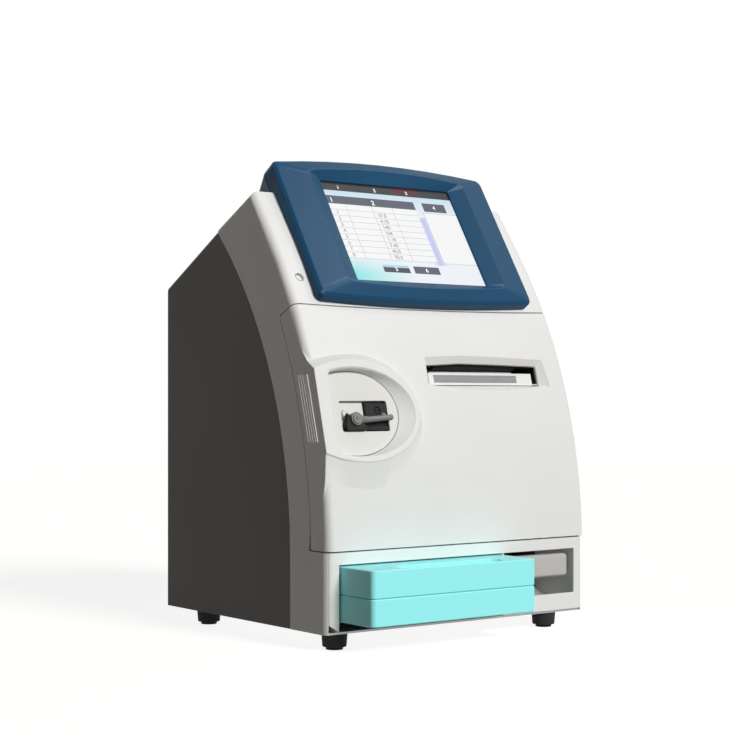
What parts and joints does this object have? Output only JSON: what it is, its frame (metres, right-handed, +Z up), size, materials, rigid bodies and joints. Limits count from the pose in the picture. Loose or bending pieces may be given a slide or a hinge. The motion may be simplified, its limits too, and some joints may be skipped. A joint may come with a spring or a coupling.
{
  "type": "blood gas analyzer",
  "caption": "Bench blood gas analyzer with a leaning touch screen, swinging front door, sampler port, strip printer and slide-out reagent pack.",
  "frame": {"origin": "centre of the bounding box at the table, under the feet", "axes": "+X to the viewer's right, +Y towards the back, +Z up"},
  "size_m": [0.33, 0.346, 0.4843],
  "materials": {
    "white_shell": "fine satin",
    "charcoal_shell": "fine texture",
    "blue_bezel": "satin gloss",
    "teal_pack": "satin",
    "pale_plastic": "satin",
    "grey_plastic": "satin",
    "black_plastic": "satin",
    "rubber": "matte",
    "sheet_steel": "plated",
    "screen": "gloss",
    "clear_tube": "translucent gloss",
    "board_green": "lacquer",
    "paper": "paper"
  },
  "bodies": {
    "case": {"base_pan": "sheet_steel", "bay_connector": "black_plastic", "bay_surround": "white_shell", "bay_tray": "sheet_steel", "display_bezel": "blue_bezel", "display_glass": "screen", "display_rear_housing": "blue_bezel", "door_catch": "black_plastic", "electrode_1": "grey_plastic", "electrode_2": "grey_plastic", "electrode_3": "grey_plastic", "electrode_4": "grey_plastic", "electrode_block": "clear_tube", "fan_frame": "black_plastic", "fan_guard": "sheet_steel", "foot_front_left": "rubber", "foot_front_right": "rubber", "foot_rear_left": "rubber", "foot_rear_right": "rubber", "front_frame": "white_shell", "hinge_pin_lower": "sheet_steel", "hinge_pin_upper": "sheet_steel", "inlet_adaptor": "pale_plastic", "inner_bulkhead": "sheet_steel", "io_ports": "sheet_steel", "latch_pin": "sheet_steel", "lcd_module": "sheet_steel", "lever_pivot": "sheet_steel", "main_board": "board_green", "power_inlet": "black_plastic", "power_supply": "sheet_steel", "pump_housing": "pale_plastic", "pump_motor": "black_plastic", "pump_tube": "clear_tube", "rear_cover": "charcoal_shell", "rear_panel": "sheet_steel", "sample_inlet": "black_plastic", "sampler_body": "black_plastic", "sampler_carriage": "pale_plastic", "sampler_faceplate": "pale_plastic", "switch_frame": "black_plastic"},
    "door": {"front_door": "white_shell", "catch_strike": "sheet_steel", "printer_front": "white_shell", "printer_body": "black_plastic"},
    "printer_flap": {"printer_cover": "white_shell", "printer_window": "clear_tube"},
    "roll": {"paper_roll": "paper"},
    "platen": {"platen_roller": "rubber"},
    "pack": {"pack_lower_shell": "teal_pack", "pack_upper_shell": "teal_pack", "pack_manifold": "pale_plastic"},
    "latch": {"pack_latch": "grey_plastic"},
    "lever": {"sampler_lever": "grey_plastic"},
    "probe": {"sample_probe": "sheet_steel"},
    "knob": {"clamp_knob": "black_plastic"},
    "button": {"standby_button": "white_shell"},
    "pump": {"pump_rotor": "grey_plastic"},
    "fan": {"fan_rotor": "black_plastic"},
    "rocker": {"power_switch": "black_plastic"}
  },
  "joints": [
    {"name": "door_swing", "type": "hinge", "parent": "case", "child": "door", "pos_m": [0.1625, -0.08521, 0.21486], "axis": [0, 0.2504, 0.9681], "range_deg": [0, 100]},
    {"name": "pack_slide", "type": "slide", "parent": "case", "child": "pack", "axis": [0, -1, 0], "range_m": [0, 0.21]},
    {"name": "latch_tilt", "type": "hinge", "parent": "case", "child": "latch", "pos_m": [0.1035, -0.1125, 0.0715], "axis": [-1, 0, 0], "range_deg": [0, 35]},
    {"name": "lever_swing", "type": "hinge", "parent": "case", "child": "lever", "pos_m": [-0.1208, -0.10764, 0.21798], "axis": [0, -0.9681, 0.2504], "range_deg": [0, 50]},
    {"name": "probe_slide", "type": "slide", "parent": "case", "child": "probe", "axis": [0, -0.9681, 0.2504], "range_m": [0, 0.01]},
    {"name": "knob_turn", "type": "hinge", "parent": "case", "child": "knob", "pos_m": [-0.0907, -0.10251, 0.22585], "axis": [0, 0.9681, -0.2504], "range_deg": [0, 90]},
    {"name": "button_press", "type": "slide", "parent": "case", "child": "button", "axis": [0, 0.8634, -0.5046], "range_m": [0, 0.0015], "stiffness_N_per_m": 800, "springref_m": -0.0005},
    {"name": "flap_tilt", "type": "hinge", "parent": "door", "child": "printer_flap", "pos_m": [0.0523, -0.09005, 0.25165], "axis": [1, 0, 0], "range_deg": [0, 75]},
    {"name": "roll_spin", "type": "hinge", "parent": "door", "child": "roll", "pos_m": [0.0521, -0.06609, 0.25485], "axis": [1, 0, 0], "continuous": true},
    {"name": "platen_spin", "type": "hinge", "parent": "door", "child": "platen", "pos_m": [0.0521, -0.07603, 0.27033], "axis": [1, 0, 0], "continuous": true},
    {"name": "pump_spin", "type": "hinge", "parent": "case", "child": "pump", "pos_m": [0.04, -0.08038, 0.15164], "axis": [0, 0.9681, -0.2504], "continuous": true},
    {"name": "fan_spin", "type": "hinge", "parent": "case", "child": "fan", "pos_m": [-0.07, 0.146, 0.25], "axis": [0, 1, 0], "continuous": true},
    {"name": "rocker_tip", "type": "hinge", "parent": "case", "child": "rocker", "pos_m": [0.065, 0.159, 0.12], "axis": [1, 0, 0], "range_deg": [-6, 6]}
  ],
  "couplings": [
    {"joint": "probe_slide", "follows": "lever_swing", "m_per_rad": 0.01145},
    {"joint": "roll_spin", "follows": "platen_spin", "ratio": 0.33333}
  ]
}
